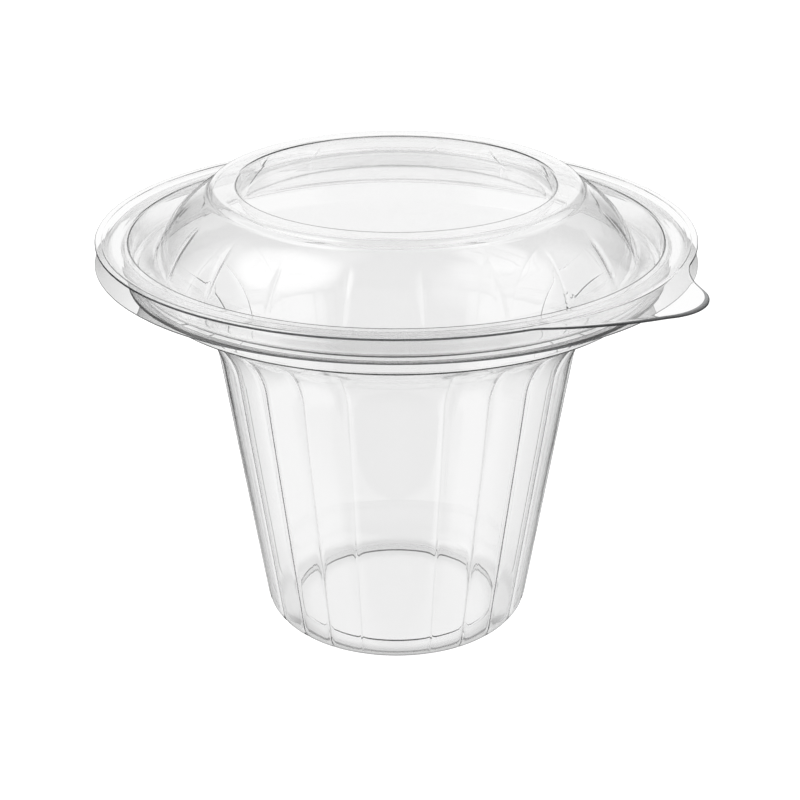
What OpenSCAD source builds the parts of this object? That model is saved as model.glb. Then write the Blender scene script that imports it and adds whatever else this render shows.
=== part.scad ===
/* [Cup] */
// Thickness of the cup's sheet
cup_sheet = 0.5; // [0.35:0.05:0.7]
// Radius of the wall where its line meets the table
wall_foot_r = 26.6; // [22:0.1:30]
// Rounding between the foot ring and the wall
foot_round = 6; // [4:0.25:7]
// Width of the foot ring that the cup stands on
foot_w = 0.55; // [0.45:0.05:2]
// Width of the slope between the foot ring and the raised disc
base_slope_w = 0.6; // [0.3:0.05:2]
// Height of the raised disc above the table
base_rise = 2.0; // [1.2:0.1:4]
// Lean of the wall away from upright, in degrees
wall_lean = 8.9; // [5:0.1:11]
// Rounding of the flare between the wall and the shelf
flare_round = 15; // [6:0.5:20]
// Slope of the sloping shelf above level, in degrees
shelf_slope = 31; // [20:0.5:40]

/* [Cup rim] */
// Height of the rim's flat top, where the lid rests
rim_z = 82.65; // [60:0.05:100]
// Inner radius of the rim, which the lid's plug drops into
mouth_r = 53.35; // [46:0.05:62]
// Depth of the step that stops the plug, below the rim's flat top
step_deep = 5.75; // [4.5:0.05:8]
// Width of the step
step_w = 2.05; // [1.6:0.05:3]
// Height of the rim band below the step
band_h = 3.8; // [2.5:0.1:6]
// How much the rim band narrows from the step to its foot
band_draft = 1.4; // [0.5:0.1:2.5]
// Width of the rim and its lip outside the mouth
rim_w = 5.95; // [5:0.05:8]
// How far the lip hangs below the rim's flat top
lip_drop = 3.65; // [2.5:0.05:4.5]
// Lean of the lip away from upright, in degrees
lip_lean = 39.5; // [10:0.5:50]

/* [Lid] */
// Thickness of the lid's sheet
lid_sheet = 0.45; // [0.3:0.05:0.6]
// How far the lid's edge stays inside the lip
lid_inset = 0.3; // [0:0.05:1]
// Clearance between the plug and the mouth
plug_clear = 0.3; // [0.15:0.05:0.5]
// Clearance between the plug's floor and the step
step_clear = 0.35; // [0.2:0.05:1]
// Width of the valley between the plug and the dome
valley_w = 4.6; // [3:0.1:6]
// Width of the dome's shoulder, from the valley to the raised ring
shoulder_w = 11; // [8:0.25:14]
// Radius of the shoulder's curve in section
dome_round = 21; // [14:0.25:30]
// Height of the raised ring above the rim's flat top
ring_rise = 10.75; // [8:0.05:14]
// Height of the raised ring's edge above the shoulder
ring_lip = 1.6; // [0.9:0.05:2.5]
// Width of the raised ring
ring_w = 5.3; // [3:0.1:8]
// Rounding of the raised ring's outer edge
ring_round = 2; // [0.5:0.1:2.5]
// Depth of the recess that the next cup's foot stands in
recess_deep = 3.4; // [2:0.1:5]
// Rounding of the recess's upper edge
recess_round = 0.9; // [0.3:0.1:1.5]
// Width of the flange's raised edge
edge_w = 2; // [1.5:0.1:3]
// Height of the flange's raised edge above the flange
edge_rise = 0.4; // [0.2:0.05:0.6]

/* [Ribs] */
// Number of ribs on each side of the cup
ribs_per_side = 10; // [6:1:11]
// Angle of the plain panel at the front, in degrees
front_panel = 30; // [20:1:40]
// Angle of the plain panel at the back, in degrees
back_panel = 60; // [30:1:75]
// Width of a rib groove
rib_w = 0.9; // [0.6:0.1:1.4]
// Depth of a rib groove
rib_deep = 0.3; // [0.2:0.05:0.6]
// Number of flutes round the dome
flutes = 20; // [12:1:24]
// Turn of the flutes from the front, in degrees
flute_turn = -2.7; // [-9:0.1:9]
// Width of a flute
flute_w = 1.1; // [0.6:0.1:1.6]
// Depth of a flute
flute_deep = 0.3; // [0.15:0.05:0.45]

/* [Pull tab] */
// Direction of the tab, in degrees round from the right-hand side
tab_turn = -40; // [-90:0.5:0]
// How far the tab's tip stands out from the lid's edge
tab_len = 11; // [9:0.1:14]
// Rounding of the tab's tip
tab_round = 11; // [8:0.25:12]
// Angle from the tab's tip to where its front side meets the flange, in degrees
tab_front_spread = 26.5; // [20:0.25:30]
// Angle from the tab's tip to where its right-hand side meets the flange, in degrees
tab_side_spread = 14.5; // [13:0.25:20]
// Rounding of the notches beside the tab
notch_round = 24; // [4:0.5:26]

/* [Hidden] */
$fn = 96;
// Distance that a cutter reaches past the sheet
past = 0.3;
// How far the tab's faces stay inside the flange's, so that no two share a plane
tab_inset = 0.03;
// Roundings of a tight and an easy bend in the sheet
tight_bend = 0.5;
easy_bend = 1;

// A unit vector along v
function unit(v) = v / norm(v);
// The direction at angle a
function toward(a) = [cos(a), sin(a)];
// The point where the line through a along u meets the line through b along v
function meet(a, u, b, v) = a + u * (((b - a)[0] * v[1] - (b - a)[1] * v[0]) / (u[0] * v[1] - u[1] * v[0]));
// The points of an arc about c, from angle a0 to a1 in n steps
function arc(c, r, a0, a1, n) = [for (i = [0:n]) c + r * toward(a0 + (a1 - a0) * i / n)];
// The centre of the arc of radius r that turns clockwise from a to b
function centre(a, b, r) = let (h = (b - a) / 2) (a + b) / 2 + sqrt(r * r - h * h) * unit([h[1], -h[0]]);
// The direction from point a to point b, in degrees
function bearing(a, b) = atan2(b[1] - a[1], b[0] - a[0]);
// The shorter turn from angle a0 to angle a1
function turn(a0, a1) = (a1 - a0 + 540) % 360 - 180;
// The arc that rounds corner b between a and c
function rounding(a, b, c, r) =
    let (u = unit(a - b), v = unit(c - b), half = acos(u * v) / 2)
    let (o = b + unit(u + v) * r / sin(half), a0 = bearing(o, b + u * r / tan(half)))
    let (sweep = turn(a0, bearing(o, b + v * r / tan(half))))
    arc(o, r, a0, a0 + sweep, max(2, ceil(abs(sweep) / 14)));
// A path through corners [x, z, rounding], with each inner corner rounded
function rounded(c) = [for (i = [0:len(c) - 1]) let (here = [c[i][0], c[i][1]])
    each (i == 0 || i == len(c) - 1 || c[i][2] == 0 ? [here]
        : rounding([c[i - 1][0], c[i - 1][1]], here, [c[i + 1][0], c[i + 1][1]], c[i][2]))];
// The left-hand normal of the step from a to b
function side(a, b) = let (u = unit(b - a)) [-u[1], u[0]];
// The path moved t to its left, so that a sheet keeps its thickness round every bend
function moved(p, t) = [for (i = [0:len(p) - 1])
    let (n = side(p[max(i - 1, 0)], p[max(i, 1)]), m = side(p[min(i, len(p) - 2)], p[min(i + 1, len(p) - 1)]))
    p[i] + t * (n + m) / (1 + n * m)];
// The closed outline between a path moved by t0 and the same path moved by t1
function band(p, t0, t1) = let (q = moved(p, t1)) concat(moved(p, t0), [for (i = [len(q) - 1:-1:0]) q[i]]);

// Radii and heights of the cup's outer side, from the rim down
rim_under = rim_z - cup_sheet;
seat_r = mouth_r + cup_sheet;
seat_draft = 0.4;
step_z = rim_z - step_deep;
step_out_r = seat_r - seat_draft;
step_in_r = step_out_r - step_w;
band_foot = [step_in_r - band_draft, step_z - band_h];
// The flare, rounded by no more than most of the shelf allows
wall_foot = [wall_foot_r, 0];
flare = meet(wall_foot, toward(90 - wall_lean), band_foot, toward(shelf_slope));
shelf_len = norm(band_foot - flare);
flare_half = (90 - wall_lean - shelf_slope) / 2;
flare_bend = min(flare_round, 0.8 * shelf_len / tan(flare_half));
// The foot ring and the raised disc
foot_out_r = wall_foot_r - foot_round / tan((90 + wall_lean) / 2);
foot_in_r = foot_out_r - foot_w;
base_r = foot_in_r - base_slope_w;
// The turned-down lip
lip_r = mouth_r + rim_w;
lip_end = [lip_r, rim_z - lip_drop] - cup_sheet * toward(lip_lean);
lip_start = meet(lip_end, toward(lip_lean - 90), [0, rim_under], [1, 0]);

cup_path = rounded([
    [0, base_rise], [base_r, base_rise, tight_bend], [foot_in_r, 0, tight_bend], [wall_foot_r, 0, foot_round],
    [flare[0], flare[1], flare_bend], [band_foot[0], band_foot[1], easy_bend], [step_in_r, step_z, tight_bend],
    [step_out_r, step_z, tight_bend], [seat_r, rim_under, tight_bend], [lip_start[0], lip_start[1], easy_bend],
    lip_end]);

// The stretch of the cup's side that carries the ribs, which fade out on the foot's rounding and on the shelf
rib_low = -55;
rib_share = 0.6;
flare_tangent = flare_bend * tan(flare_half);
rib_end = flare + toward(shelf_slope) * (flare_tangent + rib_share * (shelf_len - flare_tangent));
rib_path = concat(
    arc([foot_out_r, foot_round], foot_round, rib_low, -wall_lean, 4),
    rounding(wall_foot, flare, band_foot, flare_bend),
    [rib_end]);
rib_step = (360 - front_panel - back_panel) / 2 / (ribs_per_side - 1);
rib_turns = [for (k = [0:ribs_per_side - 1], s = [-1, 1]) s * (front_panel / 2 + k * rib_step)];

// Radii and heights of the lid's upper side, from the edge inwards
lid_r = lip_r - lid_inset;
flange_z = rim_z + lid_sheet;
edge_in_r = lid_r - edge_w;
edge_flat_r = edge_in_r + 0.35 * edge_w;
edge_z = flange_z + edge_rise;
plug_r = mouth_r - plug_clear - lid_sheet;
plug_draft = 0.7;
plug_z = step_z + cup_sheet + step_clear + lid_sheet;
dome_foot = [plug_r - valley_w, plug_z];
ring_z = rim_z + ring_rise;
ring_draft = 0.4;
dome_top = [dome_foot[0] - shoulder_w, ring_z - ring_lip];
ring_r = dome_top[0] - ring_draft;
ring_bend = min(ring_round, 0.9 * norm([ring_draft, ring_lip]) / tan(atan(ring_lip / ring_draft) / 2));
recess_r = ring_r - ring_w;
panel_z = ring_z - recess_deep;
dome_mid = centre(dome_top, dome_foot, dome_round);
dome_top_turn = bearing(dome_mid, dome_top);
dome_foot_turn = bearing(dome_mid, dome_foot);
dome_arc = arc(dome_mid, dome_round, dome_top_turn, dome_foot_turn, 10);
lid_path = concat(
    rounded([[0, panel_z], [recess_r - ring_draft, panel_z, easy_bend], [recess_r, ring_z, recess_round],
        [ring_r, ring_z, ring_bend], dome_top]),
    [for (i = [1:len(dome_arc) - 2]) dome_arc[i]],
    rounded([dome_foot, [plug_r - plug_draft, plug_z, tight_bend], [plug_r, flange_z, tight_bend],
        [edge_in_r, flange_z, tight_bend], [edge_flat_r, edge_z, tight_bend], [lid_r, edge_z]]));

// The flutes, along the middle of the dome's shoulder
flute_top_share = 0.27;
flute_low_share = 0.83;
dome_sweep = dome_foot_turn - dome_top_turn;
flute_path = arc(dome_mid, dome_round, dome_top_turn + flute_top_share * dome_sweep,
    dome_top_turn + flute_low_share * dome_sweep, 6);
flute_turns = [for (k = [0:flutes - 1]) flute_turn + (k + 0.5) * 360 / flutes];

// Outline of the pull tab, seen from above with the tip on +X. Each half runs from the tip into the flange's edge.
tab_margin = 9;
tab_tip = [lid_r + tab_len - tab_round, 0];
function tab_half(spread) =
    let (root = lid_r * toward(spread), past_root = lid_r * toward(spread + tab_margin))
    let (side_turn = bearing(tab_tip, root) - acos(tab_round / norm(root - tab_tip)))
    let (side_point = tab_tip + tab_round * toward(side_turn))
    let (notch_turn = turn(bearing(side_point, root), bearing(root, past_root)))
    let (room = 0.9 * min(norm(root - side_point), norm(past_root - root)) / tan(abs(notch_turn) / 2))
    concat(arc(tab_tip, tab_round, 0, side_turn, 6),
        rounding(side_point, root, past_root, min(notch_round, room)), [past_root]);
tab_front = tab_half(tab_front_spread);
tab_inner_r = (edge_flat_r + lid_r) / 2;
tab_outline = concat(
    [for (i = [len(tab_front) - 1:-1:1]) [tab_front[i][0], -tab_front[i][1]]], tab_half(tab_side_spread),
    arc([0, 0], tab_inner_r, tab_side_spread + tab_margin, -tab_front_spread - tab_margin, 12));

// A slice of a band of sheet, w wide at radius r, turned to direction a from the front
module slice(p, t0, t1, w, r, a) {
    spread = 2 * asin(w / 2 / r);
    rotate([0, 0, a - 90 - spread / 2])
        rotate_extrude(angle = spread)
            polygon(band(p, t0, t1));
}

// A sheet with a narrow groove in its outer side at each turn, and the matching rib inside
module ribbed(path, sheet, p, turns, w, deep, r) {
    difference() {
        union() {
            rotate_extrude() polygon(band(path, 0, sheet));
            for (a = turns) slice(p, sheet / 2, deep * sign(sheet) + sheet, w + 2 * abs(sheet), r, a);
        }
        for (a = turns) slice(p, -past * sign(sheet), deep * sign(sheet), w, r, a);
    }
}

// The cup: one thermoformed shell with a foot ring, ribbed wall, flare, rim band and turned-down lip
module cup() {
    color([0.93, 0.95, 0.96, 0.4])
        ribbed(cup_path, cup_sheet, rib_path, rib_turns, rib_w, rib_deep, wall_foot_r + 5);
}

// The pull tab's flat tongue, level with the edge of the flange
module pull_tab() {
    rotate([0, 0, tab_turn])
        translate([0, 0, edge_z - lid_sheet + tab_inset])
            linear_extrude(lid_sheet - 2 * tab_inset) polygon(tab_outline);
}

// The lid: one thermoformed shell with a recessed panel, ring, fluted dome, plug, flange and pull tab
module lid() {
    color([0.95, 0.97, 0.98, 0.35]) {
        ribbed(lid_path, -lid_sheet, flute_path, flute_turns, flute_w, flute_deep, dome_foot[0] - 4);
        pull_tab();
    }
}

cup();
lid();
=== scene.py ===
"""A clear thermoformed dessert cup and its domed lid, dressed for a product picture."""

import math

import bpy
import numpy as np
from mathutils import Euler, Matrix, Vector


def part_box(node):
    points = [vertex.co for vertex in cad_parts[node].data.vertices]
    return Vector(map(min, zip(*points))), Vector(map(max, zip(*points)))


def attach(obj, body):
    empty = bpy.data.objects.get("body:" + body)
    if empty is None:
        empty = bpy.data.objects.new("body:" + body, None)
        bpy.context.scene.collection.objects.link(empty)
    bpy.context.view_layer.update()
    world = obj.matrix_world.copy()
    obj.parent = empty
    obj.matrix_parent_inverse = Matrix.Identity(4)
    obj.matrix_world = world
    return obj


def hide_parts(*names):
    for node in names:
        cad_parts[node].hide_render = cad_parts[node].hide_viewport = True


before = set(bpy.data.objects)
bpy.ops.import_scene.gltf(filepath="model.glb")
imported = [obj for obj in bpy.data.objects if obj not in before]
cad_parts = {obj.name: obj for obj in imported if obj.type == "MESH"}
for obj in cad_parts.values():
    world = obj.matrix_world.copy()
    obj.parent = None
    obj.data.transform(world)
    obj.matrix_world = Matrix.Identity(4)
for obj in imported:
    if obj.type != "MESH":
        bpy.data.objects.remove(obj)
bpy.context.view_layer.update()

MM = 0.001

# Heights and radii that the frame gives, in millimetres
cup_low, cup_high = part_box("cup")
lid_low, lid_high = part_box("lid")
RIM_Z = cup_high.z / MM
RING_Z = lid_high.z / MM

# The cup's sheet, in millimetres: foot, wall, flare and shelf
CUP_SHEET = 0.5
WALL_FOOT_R = 26.6
WALL_LEAN = 8.9
FOOT_ROUND = 5.4
FOOT_W = 0.55
BASE_SLOPE_W = 0.4
BASE_RISE = 2.0
FLARE_ROUND = 15.0
SHELF_SLOPE = 31.0

# The cup's rim: mouth, step, rim band and turned-down lip
MOUTH_R = 53.35
STEP_DEEP = 5.75
STEP_W = 2.05
BAND_H = 3.8
BAND_DRAFT = 1.4
SEAT_DRAFT = 0.4
RIM_W = 5.95
LIP_DROP = 3.65
LIP_LEAN = 39.5

# The lid's sheet: flange, plug, valley, dome, ring and recess
LID_SHEET = 0.45
LID_INSET = 0.3
PLUG_CLEAR = 0.3
STEP_CLEAR = 0.35
PLUG_DRAFT = 0.7
VALLEY_W = 4.6
SHOULDER_W = 11.0
DOME_ROUND = 21.0
RING_LIP = 1.6
RING_DRAFT = 0.4
RING_ROUND = 1.9
RING_W = 5.3
RECESS_DEEP = 3.4
RECESS_ROUND = 0.55
EDGE_W = 2.0
EDGE_SLOPE_W = 0.7
EDGE_RISE = 0.4
# Air that the picture needs between the lid and the rim, taken from under the lid's sheet
REST_GAP = 0.05

# Roundings of the sheet's bends: a tight one, a slow one, the base disc's edge and the lip's
TIGHT, SLOW = 0.5, 1.8
BASE_ROUND = 0.2
LIP_ROUND = 1.4

# Ribs down the cup's side, in millimetres, and in degrees from the front
RIBS_PER_SIDE = 10
FRONT_PANEL = 30.0
BACK_PANEL = 60.0
RIB_DEEP = 0.32
RIB_REACH = 0.5
# How soft the middle of a rib is, on the sheet's outer side and on its inner side
RIB_SOFT_OUT, RIB_SOFT_IN = 0.06, 0.3
# The radius at which a rib's section is measured
RIB_R = 35.0
# The ribs come in between these heights on the foot's rounding, and go out by this share of the shelf
RIB_FOOT_FADE = 0.3, 3.5
RIB_SHELF_SHARE = 0.7
RIB_SHELF_FADE = 2.2
# They are formed deepest round the flare: deeper by this share from the second height on
RIB_FLARE_MORE = 0.7
RIB_FLARE_FADE = 45.0, 62.0
# Behind the sides they are formed more softly: this share of the depth is left past the second turn
RIB_BACK_SHARE = 0.2
RIB_BACK_FADE = 70.0, 100.0

# Flutes round the dome, which come in and go out between these shares of its height
FLUTES = 20
FLUTE_TURN = -2.7
FLUTE_DEEP = 0.3
FLUTE_REACH = 0.32
FLUTE_SOFT_OUT, FLUTE_SOFT_IN = 0.3, 0.5
FLUTE_R = 45.0
FLUTE_LOW_FADE = 0.08, 0.3
FLUTE_HIGH_FADE = 0.62, 0.86

# How far the mesh's steps stand from the middle of a rib and of a flute, in millimetres
RIB_STEPS = 0, 0.08, 0.17, 0.28, 0.42, 0.65, 1.0, 1.6
FLUTE_STEPS = 0, 0.1, 0.22, 0.37, 0.57, 0.85, 1.25, 1.8

# The pull tab
TAB_TURN = -40.0
TAB_LEN = 11.0
TAB_ROUND = 11.0
TAB_FRONT_SPREAD = 26.5
TAB_SIDE_SPREAD = 14.5
TAB_MARGIN = 9.0
NOTCH_ROUND = 24.0

# PET's refractive index
PET_IOR = 1.57

# Settings of the nodes that work on values and colours
PLUS, TIMES, TIMES_PLUS, LARGER, SMALLER, MORE_THAN, SIZE_OF = (
    {"operation": operation}
    for operation in ("ADD", "MULTIPLY", "MULTIPLY_ADD", "MAXIMUM", "MINIMUM", "GREATER_THAN", "ABSOLUTE")
)
SOFT = {"interpolation_type": "SMOOTHSTEP"}
COLOUR = {"data_type": "RGBA"}


def unit(v):
    return v / np.linalg.norm(v)


def toward(angle):
    """The direction at an angle in degrees."""
    return np.array([math.cos(math.radians(angle)), math.sin(math.radians(angle))])


def bearing(a, b):
    """The direction from a to b, in degrees."""
    return math.degrees(math.atan2(b[1] - a[1], b[0] - a[0]))


def meet(a, u, b, v):
    """Where the line through a along u meets the line through b along v."""
    d = b - a
    return a + u * (d[0] * v[1] - d[1] * v[0]) / (u[0] * v[1] - u[1] * v[0])


def arc(c, r, a0, a1, gap=0.35, least=6):
    """Points of an arc about c, about gap millimetres apart."""
    n = max(least, math.ceil(abs(math.radians(a1 - a0)) * r / gap))
    return [c + r * toward(a0 + (a1 - a0) * i / n) for i in range(n + 1)]


def centre(a, b, r):
    """The centre of the arc of radius r that turns clockwise from a to b."""
    h = (b - a) / 2
    return (a + b) / 2 + math.sqrt(r * r - h @ h) * unit(np.array([h[1], -h[0]]))


def rounding(a, b, c, r, **steps):
    """The arc that rounds corner b between a and c."""
    u, v = unit(a - b), unit(c - b)
    half = math.acos(u @ v) / 2
    o = b + unit(u + v) * r / math.sin(half)
    a0 = bearing(o, b + u * r / math.tan(half))
    sweep = (bearing(o, b + v * r / math.tan(half)) - a0 + 540) % 360 - 180
    return arc(o, r, a0, a0 + sweep, **steps)


def rounded(corners, **steps):
    """A path through corners (x, z, rounding), with each inner corner rounded."""
    points = [np.array(c[:2], float) for c in corners]
    path = [points[0]]
    for i in range(1, len(corners) - 1):
        path += rounding(points[i - 1], points[i], points[i + 1], corners[i][2], **steps)
    return path + [points[-1]]


def spaced(path, gap):
    """The path with its long straight runs cut into steps of about gap."""
    out = [path[0]]
    for a, b in zip(path, path[1:]):
        n = max(1, round(np.linalg.norm(b - a) / gap))
        out += [a + (b - a) * k / n for k in range(1, n + 1)]
    kept = [out[0]]
    for p in out[1:]:
        if np.linalg.norm(p - kept[-1]) > 1e-4:
            kept.append(p)
    return np.array(kept)


def normals(path):
    """Left-hand unit normals along a path."""
    step = np.gradient(path, axis=0)
    step /= np.linalg.norm(step, axis=1)[:, None]
    return np.stack([-step[:, 1], step[:, 0]], axis=1)


def smooth(x, low, high):
    """0 below low, 1 above high, and an even ramp between."""
    t = np.clip((np.asarray(x, float) - low) / (high - low), 0, 1)
    return t * t * (3 - 2 * t)


def close_turns(offsets, r):
    """Offsets in millimetres to both sides of a mark at radius r, as degrees."""
    near = np.array(offsets) / r
    return np.degrees(np.concatenate([-near[:0:-1], near]))


def turns_round(marks, offsets, even_step):
    """Directions round the axis in degrees: close together about each mark, even between."""
    fine = [m + d for m in marks for d in offsets]
    even = np.arange(0, 360, even_step)
    reach = max(offsets)
    rest = [e for e in even if min(abs((e - m + 180) % 360 - 180) for m in marks) > reach * 1.3]
    return np.sort(np.mod(np.array(fine + rest), 360))


def off(turns, marks):
    """For each direction, the signed angle to the nearest mark."""
    d = (turns[:, None] - np.array(marks)[None, :] + 180) % 360 - 180
    return d[np.arange(len(turns)), np.abs(d).argmin(axis=1)]


def crease(x, reach, soft):
    """The section of a formed crease: 1 in its middle, dying away over reach."""
    return np.exp(-(np.sqrt(x * x + soft * soft) - soft) / reach)


def sheet_edge(outer, inner, n=4):
    """Draws the ends of a sheet's two sides back a little, and gives the eased edge between them."""
    out = unit(outer[-1] - outer[-2])
    ease = 0.3 * np.linalg.norm(inner[-1] - outer[-1])
    outer[-1] -= ease * out
    inner[-1] -= ease * out
    a, b = outer[-1], inner[-1]
    across = unit(b - a)
    points = []
    for corner, way in ((a, across), (b, -across)):
        turn = [
            corner + ease * (way * (1 - math.cos(t)) + out * math.sin(t))
            for t in np.linspace(0, math.pi / 2, n + 1)[1:]
        ]
        points += turn if way is across else turn[::-1]
    return np.array(points)


def shell(name, grid, flip, edge_rows):
    """A closed mesh from grid[row, column], whose first and last row shrink to a point on the axis. The
    faces that start at the edge rows are marked as the sheet's cut edge."""
    rows, cols = grid.shape[:2]
    verts = grid[1:-1].reshape(-1, 3) * MM
    poles = np.array([grid[0].mean(axis=0), grid[-1].mean(axis=0)]) * MM
    first, last = len(verts), len(verts) + 1
    faces, cut = [], []
    for i in range(rows - 3):
        for j in range(cols):
            k = (j + 1) % cols
            quad = (i * cols + j, i * cols + k, (i + 1) * cols + k, (i + 1) * cols + j)
            faces.append(quad[::-1] if flip else quad)
            cut.append(1.0 if i + 1 in edge_rows else 0.0)
    end = (rows - 3) * cols
    for j in range(cols):
        k = (j + 1) % cols
        for tri in ((first, k, j), (last, end + j, end + k)):
            faces.append(tri[::-1] if flip else tri)
            cut.append(0.0)
    mesh = bpy.data.meshes.new(name)
    mesh.from_pydata(np.vstack([verts, poles]).tolist(), [], faces)
    mesh.attributes.new("cut_edge", "FLOAT", "FACE").data.foreach_set("value", cut)
    mesh.shade_smooth()
    mesh.update()
    piece = bpy.data.objects.new(name, mesh)
    bpy.context.scene.collection.objects.link(piece)
    return piece


def revolve(r, z, turns):
    """Points of the outline (r, z) at each direction, which is measured from the front, -Y."""
    a = np.radians(turns - 90)
    return np.stack([r * np.cos(a), r * np.sin(a), z + 0 * a], axis=-1)


def cup_shell():
    """The cup: foot ring, ribbed wall, flare, shelf, rim band, flat rim and turned-down lip."""
    rim_under = RIM_Z - CUP_SHEET
    seat_r = MOUTH_R + CUP_SHEET
    step_z = RIM_Z - STEP_DEEP
    step_out_r = seat_r - SEAT_DRAFT
    step_in_r = step_out_r - STEP_W
    band_foot = np.array([step_in_r - BAND_DRAFT, step_z - BAND_H])
    wall_foot = np.array([WALL_FOOT_R, 0.0])
    flare = meet(wall_foot, toward(90 - WALL_LEAN), band_foot, toward(SHELF_SLOPE))
    foot_in_r = WALL_FOOT_R - FOOT_ROUND / math.tan(math.radians((90 + WALL_LEAN) / 2)) - FOOT_W
    base_r = foot_in_r - BASE_SLOPE_W
    lip_end = np.array([MOUTH_R + RIM_W, RIM_Z - LIP_DROP]) - CUP_SHEET * toward(LIP_LEAN)
    lip_start = meet(lip_end, toward(LIP_LEAN - 90), np.array([0, rim_under]), np.array([1.0, 0]))
    path = rounded(
        [
            (0, BASE_RISE), (base_r, BASE_RISE, BASE_ROUND), (foot_in_r, 0, TIGHT),
            (WALL_FOOT_R, 0, FOOT_ROUND), (*flare, FLARE_ROUND), (*band_foot, SLOW),
            (step_in_r, step_z, TIGHT), (step_out_r, step_z, TIGHT), (seat_r, rim_under, TIGHT),
            (*lip_start, LIP_ROUND), lip_end,
        ],
        gap=0.9,
    )
    outer = spaced(path, 3.0)
    side = normals(outer)
    inner = outer + CUP_SHEET * side
    inner[0, 0] = 0
    edge = sheet_edge(outer, inner)

    # How strongly the ribs are formed along the outline and round it
    shelf_end = flare + RIB_SHELF_SHARE * (band_foot - flare)
    height = outer[:, 1]
    strength = (outer[:, 0] > foot_in_r) * smooth(height, *RIB_FOOT_FADE)
    strength *= 1 - smooth(height, shelf_end[1] - RIB_SHELF_FADE, shelf_end[1])
    strength *= 1 + RIB_FLARE_MORE * smooth(height, *RIB_FLARE_FADE)
    step = (360 - FRONT_PANEL - BACK_PANEL) / 2 / (RIBS_PER_SIDE - 1)
    marks = [s * (FRONT_PANEL / 2 + k * step) for k in range(RIBS_PER_SIDE) for s in (-1, 1)]
    turns = turns_round(marks, close_turns(RIB_STEPS, RIB_R), 3.5)
    x = np.radians(off(turns, marks)) * RIB_R
    from_front = np.abs((turns + 180) % 360 - 180)
    deep = RIB_DEEP * (1 - (1 - RIB_BACK_SHARE) * smooth(from_front, *RIB_BACK_FADE))
    out_dent = deep * crease(x, RIB_REACH, RIB_SOFT_OUT)
    in_dent = deep * crease(x, RIB_REACH, RIB_SOFT_IN)

    rows = []
    for side_points, dent in ((outer, out_dent), (edge, None), (inner[::-1], in_dent)):
        for i, p in enumerate(side_points):
            r, z = p[0] + 0 * x, p[1] + 0 * x
            if dent is not None:
                at = i if dent is out_dent else len(outer) - 1 - i
                r, z = r + dent * strength[at] * side[at, 0], z + dent * strength[at] * side[at, 1]
            rows.append(revolve(r, z, turns))
    edge_rows = range(len(outer) - 1, len(outer) + len(edge))
    return shell("cup_shell", np.array(rows), False, edge_rows)


def tab_half(spread, lid_r):
    """One half of the tab's outline, from the tip into the flange's edge, as angles and radii."""
    tip = np.array([lid_r + TAB_LEN - TAB_ROUND, 0])
    root, past_root = lid_r * toward(spread), lid_r * toward(spread + TAB_MARGIN)
    side_turn = bearing(tip, root) - math.degrees(math.acos(TAB_ROUND / np.linalg.norm(root - tip)))
    side_point = tip + TAB_ROUND * toward(side_turn)
    half = arc(tip, TAB_ROUND, 0, side_turn) + rounding(side_point, root, past_root, NOTCH_ROUND)
    half = np.array(half)
    return np.degrees(np.arctan2(half[:, 1], half[:, 0])), np.linalg.norm(half, axis=1)


def tab_reach(off_tab, lid_r):
    """The lid's outline, with the pull tab: its radius at each angle from the tab's tip."""
    reach = lid_r + 0 * off_tab
    for way, spread in ((1, TAB_SIDE_SPREAD), (-1, TAB_FRONT_SPREAD)):
        angles, radii = tab_half(spread, lid_r)
        reach = np.maximum(reach, np.interp(way * off_tab, angles, radii, left=lid_r, right=lid_r))
    return reach


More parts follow.
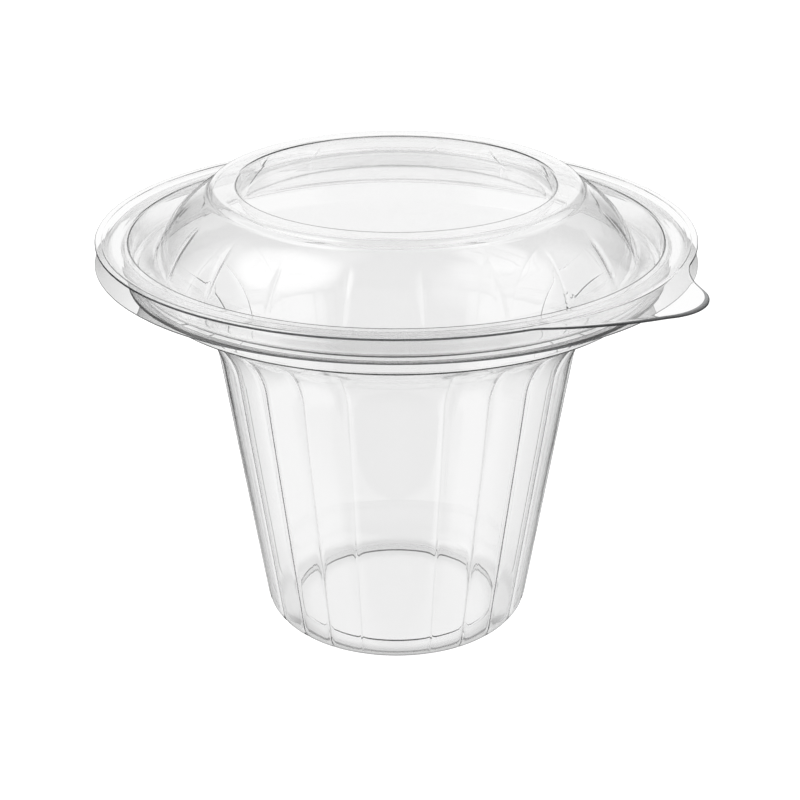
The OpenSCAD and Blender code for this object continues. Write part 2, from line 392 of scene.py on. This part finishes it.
def lid_shell():
    """The lid: stacking recess, raised ring, fluted dome, valley, plug, flange and pull tab."""
    lid_r = MOUTH_R + RIM_W - LID_INSET
    flange_z = RIM_Z + LID_SHEET
    edge_in_r = lid_r - EDGE_W
    edge_flat_r = edge_in_r + EDGE_SLOPE_W
    edge_z = flange_z + EDGE_RISE
    plug_r = MOUTH_R - PLUG_CLEAR - LID_SHEET
    plug_z = RIM_Z - STEP_DEEP + CUP_SHEET + STEP_CLEAR + LID_SHEET
    dome_foot = np.array([plug_r - VALLEY_W, plug_z])
    dome_top = np.array([dome_foot[0] - SHOULDER_W, RING_Z - RING_LIP])
    ring_r = dome_top[0] - RING_DRAFT
    recess_r = ring_r - RING_W
    panel_z = RING_Z - RECESS_DEEP
    dome_mid = centre(dome_top, dome_foot, DOME_ROUND)
    dome_turns = bearing(dome_mid, dome_top), bearing(dome_mid, dome_foot)
    top = rounded(
        [(0, panel_z), (recess_r - RING_DRAFT, panel_z, SLOW), (recess_r, RING_Z, RECESS_ROUND),
         (ring_r, RING_Z, RING_ROUND), dome_top],
        gap=0.5,
    )
    dome = arc(dome_mid, DOME_ROUND, *dome_turns, gap=0.8)
    rim = rounded(
        [dome_foot, (plug_r - PLUG_DRAFT, plug_z, TIGHT), (plug_r, flange_z, TIGHT),
         (edge_in_r, flange_z, TIGHT), (edge_flat_r, edge_z, TIGHT), (lid_r, edge_z)],
        gap=0.9,
    )
    rim = rim[:-1] + [rim[-2] + (rim[-1] - rim[-2]) * t for t in (0.25, 0.5, 0.75, 1)]
    upper = spaced(top + dome[1:-1] + rim, 2.5)
    side = normals(upper)
    lower = upper - (LID_SHEET - REST_GAP) * side
    lower[0, 0] = 0
    edge = sheet_edge(upper, lower)

    low, high = dome_foot[1], dome_top[1]
    share = (upper[:, 1] - low) / (high - low)
    on_dome = (upper[:, 0] > dome_top[0]) & (upper[:, 0] < dome_foot[0] + 0.1)
    strength = on_dome * smooth(share, *FLUTE_LOW_FADE) * (1 - smooth(share, *FLUTE_HIGH_FADE))
    marks = [FLUTE_TURN + (k + 0.5) * 360 / FLUTES for k in range(FLUTES)]
    turns = turns_round(marks, close_turns(FLUTE_STEPS, FLUTE_R), 3.0)
    # Across the tab the directions are even and close
    tab = (turns - 90 - TAB_TURN + 180) % 360 - 180
    low_end, high_end = -TAB_FRONT_SPREAD - TAB_MARGIN, TAB_SIDE_SPREAD + TAB_MARGIN
    more = 90 + TAB_TURN + np.linspace(low_end, high_end, 99)
    turns = np.sort(np.append(turns[(tab < low_end - 0.3) | (tab > high_end + 0.3)], more) % 360)
    tab = (turns - 90 - TAB_TURN + 180) % 360 - 180
    x = np.radians(off(turns, marks)) * FLUTE_R
    out_dent = FLUTE_DEEP * crease(x, FLUTE_REACH, FLUTE_SOFT_OUT)
    in_dent = FLUTE_DEEP * crease(x, FLUTE_REACH, FLUTE_SOFT_IN)
    reach = tab_reach(tab, lid_r)

    rows = []
    for side_points, dent in ((upper, out_dent), (edge, None), (lower[::-1], in_dent)):
        for i, p in enumerate(side_points):
            # Only the flat edge is stretched out to the tab
            r = p[0] + max(0.0, p[0] - edge_flat_r) / (lid_r - edge_flat_r) * (reach - lid_r)
            z = p[1] + 0 * r
            if dent is not None:
                at = i if dent is out_dent else len(upper) - 1 - i
                r, z = r - dent * strength[at] * side[at, 0], z - dent * strength[at] * side[at, 1]
            rows.append(revolve(r, z, turns))
    edge_rows = range(len(upper) - 1, len(upper) + len(edge))
    return shell("lid_shell", np.array(rows), True, edge_rows)


def srgb(hex_colour):
    """A hex colour as linear values."""
    parts = [int(hex_colour[i : i + 2], 16) / 255 for i in (1, 3, 5)]
    return (*(c / 12.92 if c <= 0.04045 else ((c + 0.055) / 1.055) ** 2.4 for c in parts), 1.0)


def add(tree, kind, settings=None, **inputs):
    """Adds a node with its settings, and sets its inputs, by name or number, or links them to an output
    or to a node's first output."""
    node = tree.nodes.new(kind)
    for key, value in (settings or {}).items():
        setattr(node, key, value)
    for key, value in inputs.items():
        socket = node.inputs[int(key[1:])] if key[0] == "_" else node.inputs[key.replace("_", " ")]
        if isinstance(value, bpy.types.Node):
            value = value.outputs[0]
        if isinstance(value, bpy.types.NodeSocket):
            tree.links.new(value, socket)
        else:
            socket.default_value = value
    return node


def new_material(name):
    material = bpy.data.materials.new(name)
    material.use_nodes = True
    material.node_tree.nodes.clear()
    return material, material.node_tree


def clear_pet(name, sheet, keeps):
    """Thermoformed PET sheet: glass-clear and glossy, with the faint waviness of a drawn sheet. Its
    faint grey builds up where light runs along the sheet, so outlines and bends read darker. The cut
    edge, where it faces out, carries painted shade: a dark grey, part-clear finish."""
    material, tree = new_material(name)
    place = add(tree, "ShaderNodeTexCoord")
    # Draw marks in the sheet are about 12 mm apart
    waves = add(tree, "ShaderNodeTexNoise", Vector=place.outputs["Object"], Scale=1 / (12 * MM), Detail=1.0)
    bump = add(tree, "ShaderNodeBump", Strength=0.015, Distance=1 * MM, Height=waves.outputs["Fac"])
    gloss = add(
        tree, "ShaderNodeBsdfPrincipled", Base_Color=srgb("#ffffff"), Roughness=0.0, IOR=PET_IOR,
        Transmission_Weight=1.0, Normal=bump.outputs["Normal"],
    )
    # Lamps and walls see the sheet as a light filter, so it casts a soft, pale shadow
    clear = add(tree, "ShaderNodeBsdfTransparent", Color=srgb("#f9f9f9"))
    path = add(tree, "ShaderNodeLightPath")
    lamp_or_wall = add(tree, "ShaderNodeMath", LARGER,
                       _0=path.outputs["Is Shadow Ray"], _1=path.outputs["Is Diffuse Ray"])
    # A sight line that enters the sheet's cut edge runs on inside the sheet, so from outside it reads dark.
    #     # That darkness is painted shade: the cut edge's faces, seen from outside, get a dark grey,
    #     part-clear finish
    cut = add(tree, "ShaderNodeAttribute", {"attribute_name": "cut_edge"})
    side = add(tree, "ShaderNodeNewGeometry")
    dark = add(tree, "ShaderNodeBsdfPrincipled", Base_Color=srgb("#5c5e60"), Roughness=0.15, IOR=PET_IOR,
               Transmission_Weight=0.6)
    painted_edge_shade_mask = add(tree, "ShaderNodeMath", MORE_THAN, _0=cut.outputs["Fac"], _1=side.outputs["Backfacing"])
    sheet_or_painted_edge = add(tree, "ShaderNodeMixShader", _0=painted_edge_shade_mask, _1=gloss, _2=dark)
    both = add(tree, "ShaderNodeMixShader", _0=lamp_or_wall, _1=sheet_or_painted_edge, _2=clear)
    # One straight pass through the sheet keeps this share of the light
    density = -math.log(keeps) / (sheet * MM)
    grey = add(tree, "ShaderNodeVolumeAbsorption", Color=srgb("#000000"), Density=density)
    add(tree, "ShaderNodeOutputMaterial", Surface=both, Volume=grey)
    return material


def studio_world():
    """White behind everything that the camera sees. In gloss: a white backdrop, soft lights on
    either side, and a dim room."""
    world = bpy.data.worlds.new("studio")
    bpy.context.scene.world = world
    world.use_nodes = True
    tree = world.node_tree
    tree.nodes.clear()
    way = add(tree, "ShaderNodeTexCoord").outputs["Generated"]
    part = add(tree, "ShaderNodeSeparateXYZ", Vector=way)
    # Places in the room, as parts of a unit direction: x across, y back and z up
    x, y, z = part.outputs["X"], part.outputs["Y"], part.outputs["Z"]
    aside = add(tree, "ShaderNodeMath", SIZE_OF, _0=x)
    backdrop = 1.0
    for value, dark, lit in ((aside, 0.42, 0.27), (y, 0.3, 0.6), (z, 0.8, 0.6)):
        backdrop = add(tree, "ShaderNodeMapRange", SOFT, Value=value, From_Min=dark, From_Max=lit,
                       To_Max=backdrop)
    # A soft light stands low on either side, about these places in y and z
    from_y = add(tree, "ShaderNodeMath", PLUS, _0=y, _1=0.15)
    from_y = add(tree, "ShaderNodeMath", SIZE_OF, _0=from_y)
    from_z = add(tree, "ShaderNodeMath", PLUS, _0=z, _1=-0.4)
    from_z = add(tree, "ShaderNodeMath", SIZE_OF, _0=from_z)
    lights = 0.6
    for value, dark, lit in ((aside, 0.35, 0.62), (from_y, 0.72, 0.45), (from_z, 0.42, 0.26)):
        lights = add(tree, "ShaderNodeMapRange", SOFT, Value=value, From_Min=dark, From_Max=lit,
                     To_Max=lights)
    # Above each stands another: the left one small and bright, the right one wide, dim and further forward
    for place, dark, lit, strength in (
        ((-0.62, -0.02, 0.78), 0.885, 0.965, 1.0),
        ((0.6, -0.28, 0.75), 0.84, 0.97, 0.5),
    ):
        facing = add(tree, "ShaderNodeVectorMath", {"operation": "DOT_PRODUCT"}, _0=way, _1=place)
        light = add(tree, "ShaderNodeMapRange", SOFT, Value=facing.outputs["Value"], From_Min=dark,
                    From_Max=lit, To_Max=strength)
        lights = add(tree, "ShaderNodeMath", LARGER, _0=lights, _1=light)
    room = add(tree, "ShaderNodeMix", COLOUR, _0=backdrop, _6=srgb("#7c7c7c"), _7=srgb("#ffffff"))
    room = add(tree, "ShaderNodeMix", COLOUR, _0=lights, _6=room.outputs[2], _7=srgb("#ffffff"))
    power = add(tree, "ShaderNodeMath", TIMES_PLUS, _0=lights, _1=0.6, _2=1.0)
    gloss = add(tree, "ShaderNodeBackground", Color=room.outputs[2], Strength=power)
    white = add(tree, "ShaderNodeBackground", Color=srgb("#ffffff"), Strength=1.0)
    path = add(tree, "ShaderNodeLightPath")
    seen = add(tree, "ShaderNodeMixShader", _0=path.outputs["Is Camera Ray"], _1=gloss, _2=white)
    add(tree, "ShaderNodeOutputWorld", Surface=seen)


def floor():
    """A pale floor that shows white, and keeps a soft shadow round the foot. Seen in gloss and through the
    sheet it shows painted light and shade, with a painted shadow at the front of the foot.
    """
    # Just under the foot, so that no two faces lie in one plane
    half, level = 3.0, -0.02 * MM
    mesh = bpy.data.meshes.new("floor")
    corners = [(-half, -half, level), (half, -half, level), (half, half, level), (-half, half, level)]
    mesh.from_pydata(corners, [], [(0, 1, 2, 3)])
    piece = bpy.data.objects.new("floor", mesh)
    bpy.context.scene.collection.objects.link(piece)
    material, tree = new_material("white studio floor")
    path = add(tree, "ShaderNodeLightPath")
    spot = add(tree, "ShaderNodeTexCoord").outputs["Object"]
    part = add(tree, "ShaderNodeSeparateXYZ", Vector=spot)
    across, back = part.outputs["X"], part.outputs["Y"]
    aside = add(tree, "ShaderNodeMath", SIZE_OF, _0=across)

    # The camera sees it white
    matt = add(tree, "ShaderNodeBsdfDiffuse", Color=srgb("#a8a8a8"))
    glow = add(tree, "ShaderNodeEmission", Color=srgb("#ffffff"), Strength=0.88)
    lit = add(tree, "ShaderNodeAddShader", _0=matt, _1=glow)
    shown = add(tree, "ShaderNodeMixShader", _0=path.outputs["Is Camera Ray"], _1=matt, _2=lit)

    # In gloss it shows painted light: a band of each side light, a little to the front, and the right one
    # more so,
    #     # over painted shade that darkens towards the back
    slant = add(tree, "ShaderNodeMath", TIMES_PLUS, _0=across, _1=0.2, _2=45 * MM)
    from_streak = add(tree, "ShaderNodeMath", PLUS, _0=back, _1=slant)
    from_streak = add(tree, "ShaderNodeMath", SIZE_OF, _0=from_streak)
    painted_streak = add(tree, "ShaderNodeMapRange", SOFT, Value=from_streak, From_Min=42 * MM, From_Max=10 * MM)
    painted_streak = add(tree, "ShaderNodeMapRange", SOFT, Value=aside, From_Min=25 * MM, From_Max=45 * MM,
                 To_Max=painted_streak)
    far = add(tree, "ShaderNodeMapRange", SOFT, Value=back, From_Min=-10 * MM, From_Max=60 * MM)
    dim = add(tree, "ShaderNodeMix", COLOUR, _0=far, _6=srgb("#a4a4a4"), _7=srgb("#585858"))
    tone = add(tree, "ShaderNodeMix", COLOUR, _0=painted_streak, _6=dim.outputs[2], _7=srgb("#ffffff"))
    painted_gloss_floor = add(tree, "ShaderNodeEmission", Color=tone.outputs[2], Strength=1.0)
    gloss = add(tree, "ShaderNodeMixShader", _0=path.outputs["Is Glossy Ray"], _1=shown, _2=painted_gloss_floor)

    # Through the sheet it is white, but for the place at the front where the foot's rounding comes down
    #     # to it: a painted shadow, soft and dim, and in that a thin dark painted contact line
    radius = add(tree, "ShaderNodeVectorMath", {"operation": "LENGTH"}, _0=spot).outputs["Value"]
    painted_foot_shadow = srgb("#ffffff")
    for ring_r, dark, clear, clear_behind, colour in (
        (23.5, 0.0, 6.0, 0.5, "#dcdcdc"),
        (23.4, 0.2, 1.0, 1.0, "#5c5c5c"),
    ):
        from_ring = add(tree, "ShaderNodeMath", PLUS, _0=radius, _1=-ring_r * MM)
        from_ring = add(tree, "ShaderNodeMath", SIZE_OF, _0=from_ring)
        away = add(tree, "ShaderNodeMapRange", SOFT, Value=from_ring, From_Min=dark * MM, From_Max=clear * MM)
        behind = add(tree, "ShaderNodeMapRange", SOFT, Value=back, From_Min=-16 * MM, From_Max=-4 * MM,
                     To_Max=clear_behind)
        share = add(tree, "ShaderNodeMath", LARGER, _0=away, _1=behind)
        painted_foot_shadow = add(tree, "ShaderNodeMix", COLOUR, _0=share, _6=srgb(colour), _7=painted_foot_shadow).outputs[2]
    # The cup's far wall mirrors the stretch ahead of the cup, which is painted a grey tone here: painted
    # shade
    forward = add(tree, "ShaderNodeMath", TIMES, _0=back, _1=-1.0)
    ahead = add(tree, "ShaderNodeMath", TIMES_PLUS, _0=aside, _1=-0.8, _2=forward)
    by_mirror = add(tree, "ShaderNodeMath", SMALLER, _0=path.outputs["Glossy Depth"], _1=1.0)
    painted_shade_ahead = add(tree, "ShaderNodeMapRange", SOFT, Value=ahead, From_Min=24 * MM, From_Max=36 * MM,
                To_Max=by_mirror)
    beyond = add(tree, "ShaderNodeMix", COLOUR, _0=painted_shade_ahead, _6=painted_foot_shadow, _7=srgb("#b4b4b4"))
    through = add(tree, "ShaderNodeEmission", Color=beyond.outputs[2], Strength=1.0)
    both = add(tree, "ShaderNodeMixShader", _0=path.outputs["Is Transmission Ray"], _1=gloss, _2=through)
    add(tree, "ShaderNodeOutputMaterial", Surface=both)
    mesh.materials.append(material)


def softbox(name, turn, rise, distance, width, height, watts):
    """A softbox that faces the object, turned round from the back and raised, in degrees."""
    data = bpy.data.lights.new(name, "AREA")
    data.shape = "RECTANGLE"
    data.size, data.size_y = width, height
    data.energy = watts
    lamp = bpy.data.objects.new(name, data)
    a, e = math.radians(turn), math.radians(rise)
    back = Vector((math.sin(a) * math.cos(e), math.cos(a) * math.cos(e), math.sin(e)))
    lamp.location = Vector((0, 0, 0.05)) + distance * back
    lamp.rotation_euler = back.to_track_quat("Z", "Y").to_euler()
    # Its mirror image is the soft light in the room
    lamp.visible_glossy = lamp.visible_transmission = False
    bpy.context.scene.collection.objects.link(lamp)


def camera():
    """The photograph's view: from 0.42 m, looking down 23.6 degrees."""
    data = bpy.data.cameras.new("camera")
    data.sensor_width = 36.0
    data.lens = 87.75
    data.clip_start, data.clip_end = 0.01, 20.0
    piece = bpy.data.objects.new("camera", data)
    piece.location = (0.0007, -0.3663, 0.2064)
    piece.rotation_euler = Euler((math.radians(90 - 23.58), 0, 0))
    bpy.context.scene.collection.objects.link(piece)
    bpy.context.scene.camera = piece


camera()
bpy.context.scene.view_settings.view_transform = "Standard"
# A line of sight crosses sixteen faces of clear sheet or more, and light runs on inside the sheet's bends
bpy.context.scene.cycles.max_bounces = 48
bpy.context.scene.cycles.transmission_bounces = 40
bpy.context.scene.cycles.glossy_bounces = 12
studio_world()
floor()
softbox("softbox_left", -95, 33, 0.7, 0.6, 0.5, 1.8)
softbox("softbox_right", 95, 33, 0.7, 0.6, 0.5, 1.8)

cup_sheet = clear_pet("clear PET cup sheet", CUP_SHEET, 0.965)
lid_sheet = clear_pet("clear PET lid sheet", LID_SHEET, 0.99)
for piece, material, node, slot in (
    (cup_shell(), cup_sheet, "cup", "clear_cup_sheet"),
    (lid_shell(), lid_sheet, "lid", "clear_lid_sheet"),
):
    piece.data.materials.append(material)
    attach(piece, node)
    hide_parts(node)
